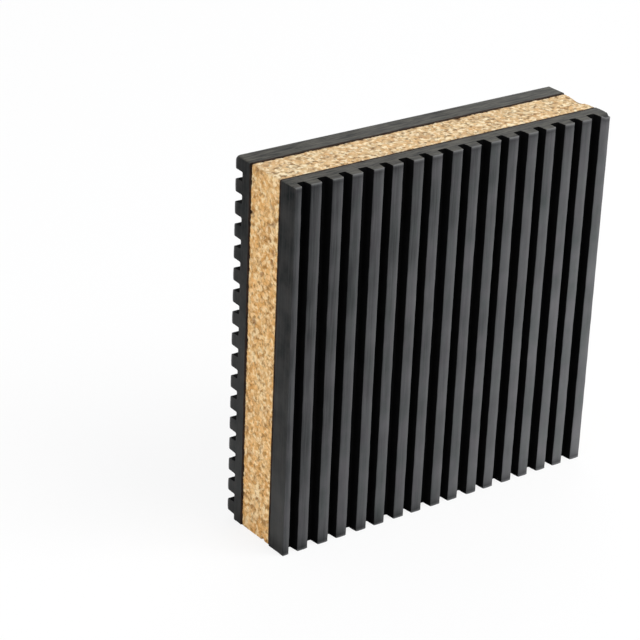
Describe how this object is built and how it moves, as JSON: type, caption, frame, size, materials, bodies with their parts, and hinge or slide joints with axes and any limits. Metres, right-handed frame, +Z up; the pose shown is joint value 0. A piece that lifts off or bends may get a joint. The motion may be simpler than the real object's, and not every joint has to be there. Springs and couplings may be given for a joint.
{
  "type": "speaker isolation pad",
  "caption": "Square isolation pad: a cork core bonded between two ribbed black rubber sheets whose ribs cross at right angles, to decouple a speaker from its stand.",
  "frame": {"origin": "middle of the underside, with the pad standing on one cut edge", "axes": "+X along the pad's width, -Y out of the face with upright ribs, +Y out of the face with level ribs, +Z up"},
  "size_m": [0.1016, 0.0254, 0.1016],
  "materials": {
    "ribbed_rubber": "matte",
    "pressed_cork": "matte",
    "contact_adhesive": "satin"
  },
  "bodies": {
    "root": {"front_rubber_sheet": "ribbed_rubber", "front_adhesive_film": "contact_adhesive", "cork_core": "pressed_cork", "rear_adhesive_film": "contact_adhesive", "rear_rubber_sheet": "ribbed_rubber"}
  },
  "joints": []
}
